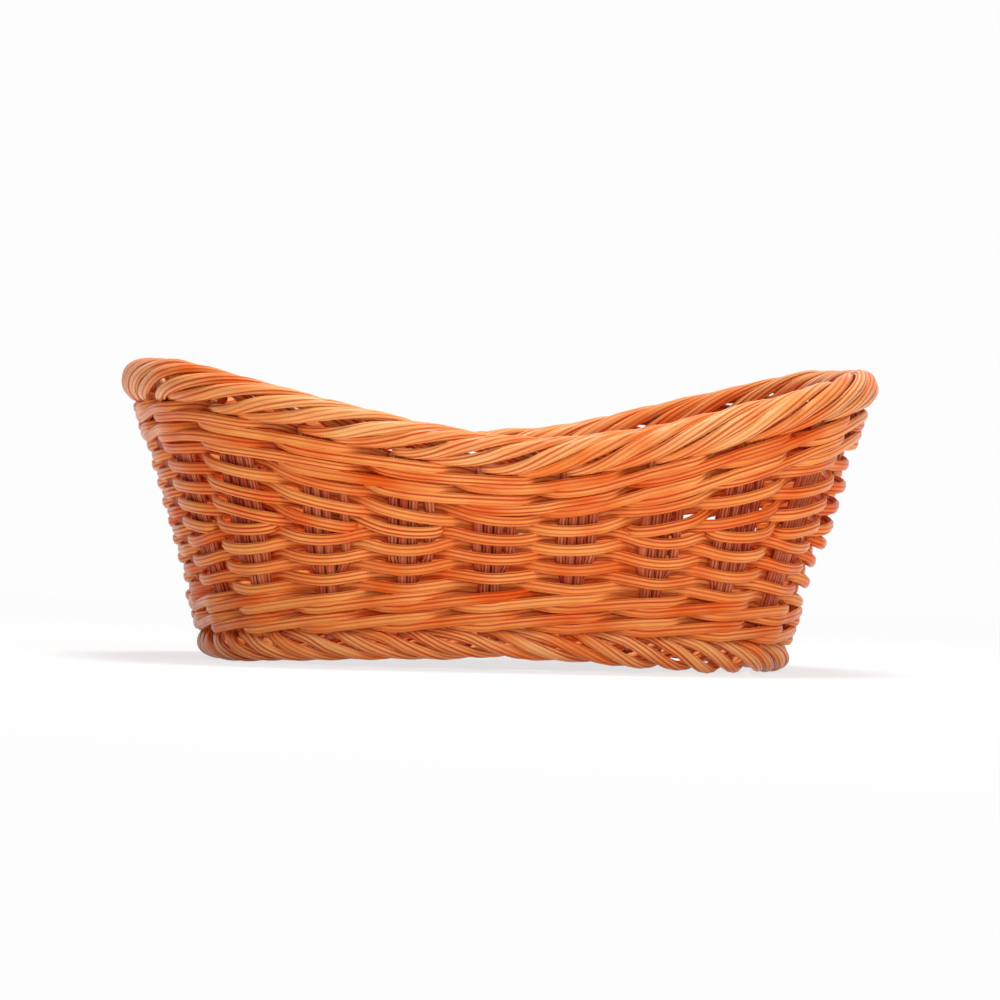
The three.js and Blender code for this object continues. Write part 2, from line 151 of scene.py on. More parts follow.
# Section of a cane
RIBS = 8
GROOVE = 0.1  # depth of a groove, as a share of the cane's half width
SHALLOW = 0.5  # the shallowest groove, as a share of the way up to the ridges
SQUARENESS = 2.05  # 2 is an oval, more is boxier

# Unevenness of hand work
UP_WOBBLE = 0.25  # how far a weaver strays up and down
OUT_WOBBLE = 0.25  # and out and in
ROPE_WOBBLE = 0.5  # and a cane on its rope
WAVES = 3  # slow waves that a wobble is made of
SLOWEST_WAVE = 0.6  # in radians for each stake spacing
QUICKEST_WAVE = 2.4
STAKE_UNEVEN = 0.15  # in the place of each cane of a bundle
ROPE_UNEVEN = 0.15  # in the advance of a rope's cane, in stake spacings
LOOSE_CANE = 1.1  # how far an added cane may stand off from its bundle
LOOSE_SHARE = 0.3  # share of the added canes that do
STANDS_OFF = {19: 2.6, 20: 2.4, 21: 1.0}  # how far the right-hand cane of three front stakes does

# Looks of the cane: its colours where its tone is light, where it is dark, and in a groove as painted shade,
# from 0 to 255
WEAVER_COLOURS = ((252, 166, 88), (234, 102, 24), (196, 38, 2))
# The rolled canes of the rim and the foot get a paler copy: painted light from above and from the floor
LIT_ROPE_COLOURS = ((252, 184, 114), (242, 124, 42), (200, 48, 4))
# The stakes' upright canes get a darker copy: painted shade of the weavers over them
SHADED_STAKE_COLOURS = ((238, 140, 92), (204, 82, 48), (126, 20, 8))
BASE_COLOURS = ((246, 158, 84), (232, 104, 28), (196, 46, 4))
WEAVER_ROUGHNESS = 0.28
STAKE_ROUGHNESS = 0.42
BASE_ROUGHNESS = 0.4
SMOOTHER = 0.06  # the roughness varies from this much less
ROUGHER = 0.1  # to this much more
CANE_SPECULAR = 0.12
TONE_RATE = 0.03  # changes of tone for each millimetre along a cane
TONE_APART = 60.0  # how far from each other the tones of two canes are taken, at most
TONE_DETAIL = 2.0
DARK_TONE = 0.3  # noise at which a cane is darkest
LIGHT_TONE = 0.62
GROOVE_EDGE = 0.85  # share of the way up to the ridges at which the painted shade of the groove is gone
SCUFF_SCALE = 1400.0  # scuffs for each metre
SCUFF_DETAIL = 3.0
SCUFF_HEIGHT = 0.12  # as a share of a rib's height
BUMP_STRENGTH = 0.35
BUMP_DISTANCE = 0.0002  # in metres

# Surroundings, in metres
BACKGROUND_SEEN = 0.98
ROOM_LIGHT = 0.26
FLOOR_HALF = 20.0
FLOOR_COLOUR = 0.94
FLOOR_ROUGHNESS = 0.8
FLOOR_SPECULAR = 0.1
FLOOR_SHADE = 0.25  # share of the floor's brightness that a shadow can take away
FLOOR_GLOW = 0.72
FLOOR_FADE_FROM = 0.3  # distance at which the floor begins to pass into the background
FLOOR_FADE_TO = 1.2
LAMP_TARGET = (0.0, 0.0, 0.06)
KEY_LAMP = ((0.4, -1.6, 1.2), 1.2, 11.0)  # place, size and power in watts
FILL_LAMP = ((0.2, -1.4, 0.1), 0.6, 3.0)
TOP_LAMP = ((0.1, 0.1, 1.8), 0.6, 26.0)

# Camera, with its distances in metres
CAMERA_YAW = math.radians(-9.53)
CAMERA_TILT = math.radians(0.42)
CAMERA_ROLL = math.radians(1.44)
CAMERA_DISTANCE = 3.0
CAMERA_LENS = 283.0  # in millimetres, as is the sensor
CAMERA_SENSOR = 36.0
TARGET_ASIDE = 0.00168  # the point looked at lies this far to the right of the middle
TARGET_HEIGHT = 0.06276


# Rows of values
def signed_power(value, power):
    return np.sign(value) * np.abs(value) ** power


def running_sum(steps):
    """Running sum that starts at 0."""
    return np.concatenate([[0], np.cumsum(steps)])


def smooth_step(share):
    return share * share * (3 - 2 * share)


def soften(values, rounds):
    """Takes the corners off a row of values and keeps its ends."""
    values = np.array(values, float)
    for _ in range(rounds):
        values[1:-1] = (values[:-2] + 2 * values[1:-1] + values[2:]) / 4
    return values


def wobble(chance, size):
    """A slow random wave along a strand, as a function of place."""
    waves = []
    for _ in range(WAVES):
        rate = chance.uniform(SLOWEST_WAVE, QUICKEST_WAVE)
        waves.append((rate, chance.uniform(0, 2 * math.pi)))

    def wave(place):
        return size * sum(np.sin(rate * place + start) for rate, start in waves) / len(waves)

    return wave


# Wall, with numpy arrays of places
def outline_table():
    angle = -math.pi / 2 + np.linspace(0, 2 * math.pi, OUTLINE_POINTS)
    x = WALL_HALF_LENGTH * signed_power(np.cos(angle), 2 / WALL_ROUNDNESS)
    y = WALL_HALF_WIDTH * signed_power(np.sin(angle), 2 / WALL_ROUNDNESS)
    return x, y, running_sum(np.hypot(np.diff(x), np.diff(y)))


OUTLINE_X, OUTLINE_Y, OUTLINE_RUN = outline_table()
QUARTER = STAKE_COUNT / 4


def outline_at(place):
    """Point of the outline at a place, and its outward normal."""
    run = (np.asarray(place, float) / STAKE_COUNT % 1.0) * OUTLINE_RUN[-1]
    x = np.interp(run, OUTLINE_RUN, OUTLINE_X)
    y = np.interp(run, OUTLINE_RUN, OUTLINE_Y)
    slope_x = signed_power(x / WALL_HALF_LENGTH, WALL_ROUNDNESS - 1) / WALL_HALF_LENGTH
    slope_y = signed_power(y / WALL_HALF_WIDTH, WALL_ROUNDNESS - 1) / WALL_HALF_WIDTH
    size = np.hypot(slope_x, slope_y)
    return x, y, slope_x / size, slope_y / size


def wall_point(place, height, depth=0.0):
    """Point at a place and height, at a depth out of the wall's middle, measured square to the wall."""
    x, y, out_x, out_y = outline_at(place)
    out = (height - WALL_LEVEL) * math.tan(WALL_FLARE) + depth * math.cos(WALL_FLARE)
    z = height - depth * math.sin(WALL_FLARE) + 0 * x
    return np.stack([x + out_x * out, y + out_y * out, z], -1)


def up_wall(place):
    out_x, out_y = outline_at(place)[2:]
    out = math.sin(WALL_FLARE)
    return np.stack([out_x * out, out_y * out, math.cos(WALL_FLARE) + 0 * out_x], -1)


def place_step(place, height, length):
    """How far a length along the wall goes, counted in stake spacings."""
    probe = 0.2
    span = np.linalg.norm(wall_point(place + probe, height) - wall_point(place - probe, height), axis=-1)
    return length * 2 * probe / span


def saddle(place):
    """How much of the rim's rise to the ends a place has, from 0 to 1."""
    share = np.abs(outline_at(place)[0]) / WALL_HALF_LENGTH
    return np.minimum(1, share / SADDLE_REACH) ** SADDLE_POWER


def rim_height(place):
    lean = RIM_LEAN * outline_at(place)[0] / WALL_HALF_LENGTH
    return RIM_HEIGHT_MIDDLE + (RIM_HEIGHT_END - RIM_HEIGHT_MIDDLE) * saddle(place) + lean


def foot_height(place):
    return FOOT_REACH - FLOOR_CUT + FOOT_ARCH * (1 - saddle(place))


def lower_wale_bottom(place):
    return foot_height(place) + FOOT_REACH + CLEARANCE


def upper_wale_bottom(place):
    return rim_height(place) - RIM_RADIUS - WALE_MARGIN - WALE_ROWS * WALE_ROW_HEIGHT + WALE_RAISED


def weave_bottom(place):
    return lower_wale_bottom(place) + WALE_ROWS * WALE_ROW_HEIGHT + WALE_MARGIN - ROWS_SPREAD


def weave_top(place):
    return upper_wale_bottom(place) - WALE_MARGIN + ROWS_SPREAD


def row_count(place):
    """Number of plain rows at a place, with the packing rows coming in where they turn back."""
    turn = np.asarray(place, float) % STAKE_COUNT
    front = (turn <= QUARTER) | (turn >= 3 * QUARTER)
    middle = np.where(front, 0, STAKE_COUNT / 2)
    along = np.minimum(np.abs(turn - middle), np.abs(turn - middle - STAKE_COUNT))
    rows = LOWER_ROWS + UPPER_ROWS + 0 * along
    for pair in range(PACKING_PAIRS):
        on_back = 2
        if pair == 0:
            on_back = 3
        elif pair == PACKING_PAIRS - 1:
            on_back = 1
        added = np.where(front, 2, on_back)
        rows = rows + added * np.clip((along - pair - CLOSE_FROM) / CLOSE_LENGTH, 0, 1)
    return rows


def row_pitch(place):
    return (weave_top(place) - weave_bottom(place)) / row_count(place)


def bundle_width(place, height):
    added = np.clip((height - weave_bottom(place)) / BUNDLE_TAPER, 0, 1)
    return CANE_PITCH * (len(STAKE_CANES) + len(ADDED_CANES) * added)


def edge_step(place, height):
    return place_step(place, height, bundle_width(place, height) / 2 + EDGE_MARGIN)


def stake_place(index):
    return index + 0.5


# Canes
def cross_section(chance):
    """Ribbed oval with half sizes of 1: the height of each point between groove and ridge, and its place."""
    sides = 2 * RIBS
    angle = np.arange(sides) * 2 * math.pi / sides
    ridge = np.ones(sides)
    ridge[1::2] = [chance.uniform(0, SHALLOW) for _ in range(RIBS)]
    size = 1 - GROOVE * (1 - ridge)
    across = signed_power(np.cos(angle), 2 / SQUARENESS) * size
    upward = signed_power(np.sin(angle), 2 / SQUARENESS) * size
    return ridge, across, upward


def axes_along(points, ups):
    """Directions of a strand's thickness and of its height at each point."""
    along = np.gradient(points, axis=0)
    along /= np.linalg.norm(along, axis=1)[:, None]
    side = np.cross(along, ups)
    side /= np.linalg.norm(side, axis=1)[:, None]
    return side, np.cross(side, along)


class Canes:
    """The canes of one piece, joined into one mesh."""

    def __init__(self):
        self.points = []
        self.quads = []
        self.caps = []
        self.rib = []
        self.run = []
        self.tone = []
        self.count = 0

    def add(self, points, ups, tall, thick, chance):
        """A cane along points. Ups point roughly along its height, tall and thick are its two sizes."""
        ridge, across, upward = cross_section(chance)
        side, up = axes_along(points, ups)
        half_tall = np.broadcast_to(tall, len(points))[:, None, None] / 2
        half_thick = np.broadcast_to(thick, len(points))[:, None, None] / 2
        ring = points[:, None] + side[:, None] * across[None, :, None] * half_thick
        ring = ring + up[:, None] * upward[None, :, None] * half_tall
        self.points.append(ring.reshape(-1, 3))
        rings = len(points)
        sides = len(ridge)
        run = running_sum(np.linalg.norm(np.diff(points, axis=0), axis=1))
        self.run.append(np.repeat(run, sides))
        self.rib.append(np.tile(ridge, rings))
        self.tone.append(np.full(rings * sides, chance.random()))
        self.add_faces(rings, sides)
        self.count += rings * sides

    def add_faces(self, rings, sides):
        """Quads between the rings that come next, and a cap at each end."""
        first = self.count + (np.arange(rings - 1) * sides)[:, None]
        here = np.arange(sides)[None]
        after = (here + 1) % sides
        quads = np.stack([first + here, first + sides + here, first + sides + after, first + after], -1)
        self.quads.append(quads.reshape(-1, 4))
        self.caps.append(self.count + np.arange(sides))
        self.caps.append(self.count + (rings - 1) * sides + np.arange(sides)[::-1])

    def mesh(self, name):
        quads = np.concatenate(self.quads)
        loops = np.concatenate([quads.ravel(), np.concatenate(self.caps)])
        totals = [4] * len(quads) + [2 * RIBS] * len(self.caps)
        mesh = bpy.data.meshes.new(name)
        mesh.vertices.add(self.count)
        mesh.vertices.foreach_set("co", (np.concatenate(self.points) * METRE).ravel())
        mesh.loops.add(len(loops))
        mesh.loops.foreach_set("vertex_index", loops)
        mesh.polygons.add(len(totals))
        mesh.polygons.foreach_set("loop_start", running_sum(totals[:-1]))
        mesh.polygons.foreach_set("loop_total", totals)
        mesh.polygons.foreach_set("use_smooth", [True] * len(quads) + [False] * len(self.caps))
        for attribute, values in (("rib", self.rib), ("run", self.run), ("tone", self.tone)):
            layer = mesh.attributes.new(attribute, "FLOAT", "POINT")
            layer.data.foreach_set("value", np.concatenate(values))
        mesh.update(calc_edges=True)
        mesh.validate()
        return mesh


class Route:
    """A weaver's middle line along the wall: places, depths out of the wall's middle, and heights.

    Heights are given at the middle of each stake, and between them the weaver runs straight, as it does when
    it is pulled tight.
    """

    STEPS_ON_STAKE = 6
    STEPS_IN_GAP = 8
    STEPS_ROUND_TURN = 6
    HEIGHT_SOFTNESS = 8
    DEPTH_SOFTNESS = 2

    def __init__(self, tall, stands_out=0.0):
        self.tall = tall
        self.stands_out = stands_out
        self.places = []
        self.depths = []
        self.heights = []  # unknown ones are filled in when the weaver is drawn
        self.turning = False

    def add(self, place, depth, height=math.nan):
        self.places.append(place)
        self.depths.append(depth)
        self.heights.append(height)

    def pass_stake(self, place, heading, height, front, gap_height=math.nan, steep=False):
        """Past a stake, bulging in the middle. The gap's height is that half way from the stake before."""
        edge = float(edge_step(place, height))
        side = 1 if front else -1
        if self.places and not self.turning:
            self.cross_gap(place - heading * edge, side * WEAVER_DEPTH, gap_height, steep)
        self.turning = False
        for i in range(self.STEPS_ON_STAKE + 1):
            share = i / self.STEPS_ON_STAKE
            depth = side * (WEAVER_DEPTH + WEAVER_BULGE * math.sin(math.pi * share))
            at_middle = 2 * i == self.STEPS_ON_STAKE
            self.add(place + heading * edge * (2 * share - 1), depth, height if at_middle else math.nan)

    def cross_gap(self, place, depth, gap_height, steep):
        """On to the next stake. A steep crossing takes only the part of the gap next to the front pass."""
        from_place = self.places[-1]
        from_depth = self.depths[-1]
        for i in range(1, self.STEPS_IN_GAP):
            share = i / self.STEPS_IN_GAP
            crossed = share
            if steep and from_depth > depth:
                crossed = min(1, STEEPNESS * share)
            elif steep:
                crossed = 1 - min(1, STEEPNESS * (1 - share))
            eased = (1 - math.cos(math.pi * crossed)) / 2
            at_middle = 2 * i == self.STEPS_IN_GAP
            self.add(
                from_place + (place - from_place) * share,
                from_depth + (depth - from_depth) * eased,
                gap_height if at_middle else math.nan,
            )

    def start_behind(self, place, height):
        """The free end where a weaver begins, inside the basket."""
        self.add(place, -WEAVER_DEPTH, height)

    def end_behind(self, place, height):
        """On to the free end where a weaver stops, inside the basket."""
        self.cross_gap(place, -WEAVER_DEPTH, math.nan, steep=False)
        self.add(place, -WEAVER_DEPTH, height)

    def turn_back(self, heading):
        """Round the edge of the stake that was just passed, to its other side."""
        place = self.places[-1]
        depth = self.depths[-1]
        reach = float(place_step(place, WALL_LEVEL, TURN_REACH))
        for i in range(1, self.STEPS_ROUND_TURN):
            angle = math.pi * i / self.STEPS_ROUND_TURN
            self.add(place + heading * reach * math.sin(angle), depth * math.cos(angle))
        self.turning = True

    def drawn(self, chance):
        """The weaver as a cane."""
        place = np.array(self.places)
        given = np.array(self.heights)
        run = running_sum(np.abs(np.diff(place)))
        known = ~np.isnan(given)
        height = soften(np.interp(run, run[known], given[known]), self.HEIGHT_SOFTNESS)
        height = height + wobble(chance, UP_WOBBLE)(run)
        depth = soften(self.depths, self.DEPTH_SOFTNESS) + wobble(chance, OUT_WOBBLE)(run)
        behind = np.clip((1 - depth / WEAVER_DEPTH) / 2, 0, 1)
        depth = depth + self.stands_out * (1 - behind)
        tall = self.tall + WIDER_BEHIND * behind
        canes = Canes()
        canes.add(wall_point(place, height, depth), up_wall(place), tall, WEAVER_THICK, chance)
        return canes


# Pieces of the wall
def wale_strand(number, row_bottom, chance):
    """Passes in front of two stakes and behind the third, rising in front from low to high."""

    def height(at, row, rise):
        return float(row_bottom(at)) + (row + 0.5 + rise / 2) * WALE_ROW_HEIGHT

    route = Route(WALE_TALL, WALE_STANDS_OUT)
    start = stake_place(FIRST_STAKE) - TAIL
    route.start_behind(start, height(start, 0, -WALE_TAIL_RISE))
    for index in range(WALE_ROWS * STAKE_COUNT):
        place = stake_place(FIRST_STAKE + index)
        row = index // STAKE_COUNT
        phase = (index + number) % 3
        gap_height = math.nan
        if index > 0:
            row_before = (row + (index - 1) // STAKE_COUNT) / 2
            gap_height = height(place - 0.5, row_before, WALE_RISE_BEFORE_STAKE[phase])
        at_stake = height(place, row, WALE_RISE_AT_STAKE[phase])
        route.pass_stake(place, 1, at_stake, phase != 0, gap_height, steep=True)
    route.end_behind(place + TAIL, height(place + TAIL, WALE_ROWS - 1, WALE_TAIL_RISE))
    return route.drawn(chance)


def plain_row_height(place, row):
    pitch = row_pitch(place)
    if row < LOWER_ROWS:
        return weave_bottom(place) + (row + 0.5) * pitch
    return weave_top(place) - (LOWER_ROWS + UPPER_ROWS - row - 0.5) * pitch


def packing_row_height(place, row):
    return weave_top(place) - (UPPER_ROWS + 2 * PACKING_PAIRS - row - 0.5) * row_pitch(place)


def plain_pass(route, index, heading, row_height, row, front, climbs=False):
    place = stake_place(index)
    sag = SAG_IN_FRONT if front else SAG_BEHIND
    gap_height = math.nan
    if not climbs:
        gap_height = float(row_height(place - heading / 2, row)) + RISE_IN_GAP
    route.pass_stake(place, heading, float(row_height(place, row)) - sag, front, gap_height)


def plain_weaver(number, chance):
    """One of two chasing weavers in plain weave. It rises by two rows each time it has gone round."""
    rows = LOWER_ROWS + UPPER_ROWS
    route = Route(WEAVER_TALL)
    start = stake_place(FIRST_STAKE) - TAIL
    start_height = float(plain_row_height(start, 0)) + (number - 1) * float(row_pitch(start)) / 2
    route.start_behind(start, start_height)
    for index in range(rows // 2 * STAKE_COUNT):
        row = 2 * (index // STAKE_COUNT) + number
        front = (index + number) % 2 == 1
        climbs = index % STAKE_COUNT == 0
        plain_pass(route, FIRST_STAKE + index, 1, plain_row_height, row, front, climbs)
    end = stake_place(FIRST_STAKE + index) + TAIL
    route.end_behind(end, float(plain_row_height(end, rows - 1)) + number * float(row_pitch(end)) / 2)
    return route.drawn(chance)


def packing_weaver(end_stake, direction, chance):
    """Goes to and fro round one end, one stake further each time, and turns back round a stake.

    Direction is 1 at the right-hand end and -1 at the left-hand one.
    """
    rows = 2 * PACKING_PAIRS
    reach = 1  # stakes from the end's middle stake
    heading = -direction
    route = Route(WEAVER_TALL, PACKING_STANDS_OUT if direction > 0 else 0.0)
    for row in range(rows):
        first = end_stake - heading * reach
        if heading == direction and row < rows - 1:
            reach += 1
        last = end_stake + heading * reach
        for index in range(first, last + heading, heading):
            front = (index - FIRST_STAKE + row) % 2 == 1
            height = float(packing_row_height(stake_place(index), row))
            if row > 0 and index == first:
                route.turn_back(-heading)
            elif index == first and front:
                route.start_behind(stake_place(index) - heading * TAIL, height)
            plain_pass(route, index, heading, packing_row_height, row, front)
        heading = -heading
    if front:
        route.end_behind(stake_place(last) - heading * TAIL, height)
    return route.drawn(chance)


def upright_cane(canes, at, height, depth, chance):
    """A cane up the wall, flat against it."""
    out_x, out_y = outline_at(at)[2:]
    sideways = np.stack([-out_y, out_x, 0 * out_x], -1)
    canes.add(wall_point(at, height, depth), sideways, CANE_PITCH, CANE_THICK, chance)


def stake_bundle(index, chance):
    """Two canes of a stake side by side, and two more pushed in beside them above the lower wale."""
    place = stake_place(index)
    canes = Canes()
    narrow_to = float(weave_bottom(place))
    root = float(foot_height(place)) + FOOT_TOP + STAKE_NECK
    top = float(rim_height(place)) - RIM_UNDERSIDE - STAKE_NECK
    for across in BUNDLE_CANES:
        added = across in ADDED_CANES
        bottom = narrow_to - BYE_STAKE_ROOT if added else root
        height = np.linspace(bottom, top, STAKE_STEPS)
        spread = np.full(STAKE_STEPS, abs(across))
        depth = np.full(STAKE_STEPS, chance.uniform(-STAKE_UNEVEN, STAKE_UNEVEN))
        aside = chance.uniform(-STAKE_UNEVEN, STAKE_UNEVEN)
        if added:
            pushed = smooth_step(np.clip((height - narrow_to) / BUNDLE_TAPER, 0, 1))
            spread = ADDED_AT_ROOT + (abs(across) - ADDED_AT_ROOT) * pushed
            depth = depth - ROOT_BEHIND * (1 - pushed)
            held = np.clip((top - height) / BUNDLE_TAPER, 0, 1)
            stands_off = LOOSE_CANE * (chance.random() < LOOSE_SHARE)
            if across > 0:
                stands_off = STANDS_OFF.get(index, stands_off)
            aside = stands_off * pushed * held
        offset = math.copysign(1, across) * (spread * CANE_PITCH + aside)
        upright_cane(canes, place + place_step(place, height, offset), height, depth, chance)
    return canes


# Ropes of the rim and the foot
ROPE_SHARE = np.linspace(0, 1, ROPE_STEPS)  # how far along its way a cane is at each step


def rope_places(place, height, bundle_offset, side, advance, chance):
    """Places of a cane along a rope: on from its bundle, while it closes up with the stake's other cane."""
    start = side * float(place_step(place, height, bundle_offset))
    gather = np.minimum(1, ROPE_SHARE / ROPE_GATHER)
    spread = start + (side * CANES_APART / 2 - start) * gather
    advance = advance + chance.uniform(-ROPE_UNEVEN, ROPE_UNEVEN)
    return place + spread + advance * ROPE_SHARE


def rope_cane(canes, centre_height, places, angles, halves, wide, chance):
    """A cane wound on a rope. Halves are the rope's half width, and its half height above and below."""
    out_x, out_y = outline_at(places)[2:]
    outward = np.stack([out_x, out_y, 0 * out_x], -1)
    half_wide, half_above, half_below = halves
    loose = wobble(chance, ROPE_WOBBLE)(places)
    upright = np.where(np.sin(angles) > 0, half_above, half_below) - ROPE_THICK / 2 + loose
    radial = outward * np.cos(angles)[:, None]
    radial[:, 2] = np.sin(angles)
    points = wall_point(places, centre_height(places))
    points = points + outward * ((half_wide - ROPE_THICK / 2 + loose) * np.cos(angles))[:, None]
    points[:, 2] += upright * np.sin(angles)
    along = np.gradient(points, axis=0)
    canes.add(points, np.cross(radial, along), wide, ROPE_THICK, chance)


def rim_cane(canes, place, side, chance):
    bundle_offset = max(ADDED_CANES) * CANE_PITCH
    places = rope_places(place, rim_height(place), bundle_offset, side, RIM_ADVANCE, chance)
    swell = sum(size * np.exp(-(((places - at) / length) ** 2)) for at, length, size in RIM_SWELLS)
    halves = (RIM_RADIUS + swell, RIM_RADIUS + swell, RIM_UNDERSIDE)
    angles = RIM_START + RIM_SWEEP * ROPE_SHARE
    rope_cane(canes, rim_height, places, angles, halves, RIM_WIDE, chance)


def foot_cane(canes, place, side, chance):
    bundle_offset = max(STAKE_CANES) * CANE_PITCH
    places = rope_places(place, foot_height(place), bundle_offset, side, FOOT_ADVANCE, chance)
    from_sag = (places + STAKE_COUNT / 2) % STAKE_COUNT - STAKE_COUNT / 2 - FOOT_SAG_PLACE
    arch = FOOT_ARCH * (1 - saddle(places))
    sag = FOOT_SAG * arch * np.exp(-((from_sag / FOOT_SAG_LENGTH) ** 2))
    halves = (FOOT_RADIUS, FOOT_TOP, FOOT_UNDERSIDE + sag)
    angles = FOOT_START - FOOT_SWEEP * ROPE_SHARE
    rope_cane(canes, foot_height, places, angles, halves, FOOT_WIDE, chance)


def stake_ends(index, chance):
    """A stake's canes where they leave the weave, with two rolled into the rim and two into the foot."""
    place = stake_place(index)
    canes = Canes()
    for side in (-1, 1):
        rim_cane(canes, place, side, chance)
    for side in (-1, 1):
        foot_cane(canes, place, side, chance)
    neck = np.array([-STAKE_NECK - NECK_OVERLAP, 0, ROPE_THICK / 2])
    under_rim = float(rim_height(place)) - RIM_UNDERSIDE + neck
    over_foot = float(foot_height(place)) + FOOT_TOP - neck
    for height, across_all in ((under_rim, BUNDLE_CANES), (over_foot, STAKE_CANES)):
        for across in across_all:
            at = place + place_step(place, height, across * CANE_PITCH)
            upright_cane(canes, at, height, 0.0, chance)
    return canes


# Base
def base_edge(place):
    out_x, out_y = outline_at(place)[2:]
    middle = wall_point(place, foot_height(place))
    return middle[..., 0] - out_x * BASE_DEPTH, middle[..., 1] - out_y * BASE_DEPTH


def base_half_length(distance):
    """Half length of the base along X, at a distance from the long axis."""
    x, y = base_edge(np.linspace(0, QUARTER, BASE_EDGE_POINTS))
    return float(np.interp(distance, -y[::-1], x[::-1]))


def stick_at(index):
    """Place of a stick along X, and its half length."""
    x, y = base_edge(np.array(stake_place(index - BASE_STICKS / 2)))
    return float(x), float(-y)


def base_stick(index, chance):
    x, half_length = stick_at(index)
    canes = Canes()
    y = np.linspace(-half_length, half_length, BASE_STICK_STEPS)
    sideways = np.tile([1.0, 0.0, 0.0], (len(y), 1))
    for across in STAKE_CANES:
        points = np.stack([x + across * CANE_PITCH + 0 * y, y, BASE_LEVEL + 0 * y], -1)
        canes.add(points, sideways, CANE_PITCH, BASE_STICK_THICK, chance)
    return canes


def base_weaver(index, chance):
    """Canes side by side that go over and under the sticks together."""
    tape_pitch = 2 * (float(-base_edge(np.array(0.0))[1]) - BASE_SIDE_GAP) / BASE_TAPES
    cane_pitch = tape_pitch / BASE_TAPE_CANES
    passing = CANE_PITCH + EDGE_MARGIN
    rise = BASE_STICK_THICK / 2 + BASE_CANE_THICK / 2 + BASE_CLEARANCE
    sticks = [stick_at(stick)[0] for stick in range(BASE_STICKS)]
    canes = Canes()
    for cane in range(BASE_TAPE_CANES):
        across = (cane - (BASE_TAPE_CANES - 1) / 2) * cane_pitch
        y = (index - (BASE_TAPES - 1) / 2) * tape_pitch + across
        reach = base_half_length(abs(y) + cane_pitch / 2)
        for x in sticks:
            if abs(x - reach) < passing:
                reach = x - passing
        stations = [(-reach, 0.0)]
        for stick, x in enumerate(sticks):
            if abs(x) + passing < reach:
                level = rise if (index + stick) % 2 == 0 else -rise
                stations += [(x - passing, level), (x + passing, level)]
        stations.append((reach, 0.0))
        x = np.linspace(-reach, reach, BASE_CANE_STEPS)
        z = soften(np.interp(x, *zip(*stations)), BASE_CANE_SOFTNESS)
        points = np.stack([x, y + 0 * x, BASE_LEVEL + z], -1)
        sideways = np.tile([0.0, 1.0, 0.0], (len(x), 1))
        canes.add(points, sideways, cane_pitch - BASE_CLEARANCE, BASE_CANE_THICK, chance)
    return canes


# Materials
def linear(red, green, blue):
    """A colour given as it is seen, from 0 to 255, as the shader takes it."""

    def channel(value):
        value /= 255
        return value / 12.92 if value <= 0.04045 else ((value + 0.055) / 1.055) ** 2.4

    return channel(red), channel(green), channel(blue), 1.0


def attribute_value(tree, name):
    node = tree.nodes.new("ShaderNodeAttribute")
    node.attribute_name = name
    return node.outputs["Fac"]


def noise_value(tree, vector, scale, detail):
    node = tree.nodes.new("ShaderNodeTexNoise")
    node.inputs["Scale"].default_value = scale
    node.inputs["Detail"].default_value = detail
    tree.links.new(vector, node.inputs["Vector"])
    return node.outputs["Fac"]


def tone_value(tree):
    """Slow change of tone along a cane, which starts elsewhere on each cane. 0 is dark and 1 is light."""
    place = tree.nodes.new("ShaderNodeCombineXYZ")
    tree.links.new(attribute_value(tree, "run"), place.inputs["X"])
    tree.links.new(attribute_value(tree, "tone"), place.inputs["Y"])
    stretch = tree.nodes.new("ShaderNodeVectorMath")
    stretch.operation = "MULTIPLY"
    stretch.inputs[1].default_value = (TONE_RATE, TONE_APART, 1.0)
    tree.links.new(place.outputs["Vector"], stretch.inputs[0])
    spread = tree.nodes.new("ShaderNodeMapRange")
    spread.inputs["From Min"].default_value = DARK_TONE
    spread.inputs["From Max"].default_value = LIGHT_TONE
    slow = noise_value(tree, stretch.outputs["Vector"], 1.0, TONE_DETAIL)
    tree.links.new(slow, spread.inputs["Value"])
    return spread.outputs["Result"]


def ridge_value(tree):
    """0 in a groove and 1 on a ridge: the mask of the painted shade in the grooves, and of the bump."""
    edge = tree.nodes.new("ShaderNodeMapRange")
    edge.interpolation_type = "SMOOTHSTEP"
    edge.inputs["From Min"].default_value = 0.0
    edge.inputs["From Max"].default_value = GROOVE_EDGE
    tree.links.new(attribute_value(tree, "rib"), edge.inputs["Value"])
    return edge.outputs["Result"]


def cane_colour(tree, on_ridge, light, dark, groove):
    body = tree.nodes.new("ShaderNodeMix")
    body.data_type = "RGBA"
    body.inputs["A"].default_value = linear(*dark)
    body.inputs["B"].default_value = linear(*light)
    tree.links.new(tone_value(tree), body.inputs["Factor"])
    # The groove colour laid over the tone is painted shade in the grooves
    colour = tree.nodes.new("ShaderNodeMix")
    colour.data_type = "RGBA"
    colour.inputs["A"].default_value = linear(*groove)
    tree.links.new(on_ridge, colour.inputs["Factor"])
    tree.links.new(body.outputs["Result"], colour.inputs["B"])
    return colour.outputs["Result"]


def cane_bump(tree, on_ridge, scuffs):
    relief = tree.nodes.new("ShaderNodeMath")
    relief.operation = "MULTIPLY_ADD"
    relief.inputs[1].default_value = SCUFF_HEIGHT
    tree.links.new(scuffs, relief.inputs[0])
    tree.links.new(on_ridge, relief.inputs[2])
    bump = tree.nodes.new("ShaderNodeBump")
    bump.inputs["Strength"].default_value = BUMP_STRENGTH
    bump.inputs["Distance"].default_value = BUMP_DISTANCE
    tree.links.new(relief.outputs["Value"], bump.inputs["Height"])
    return bump.outputs["Normal"]


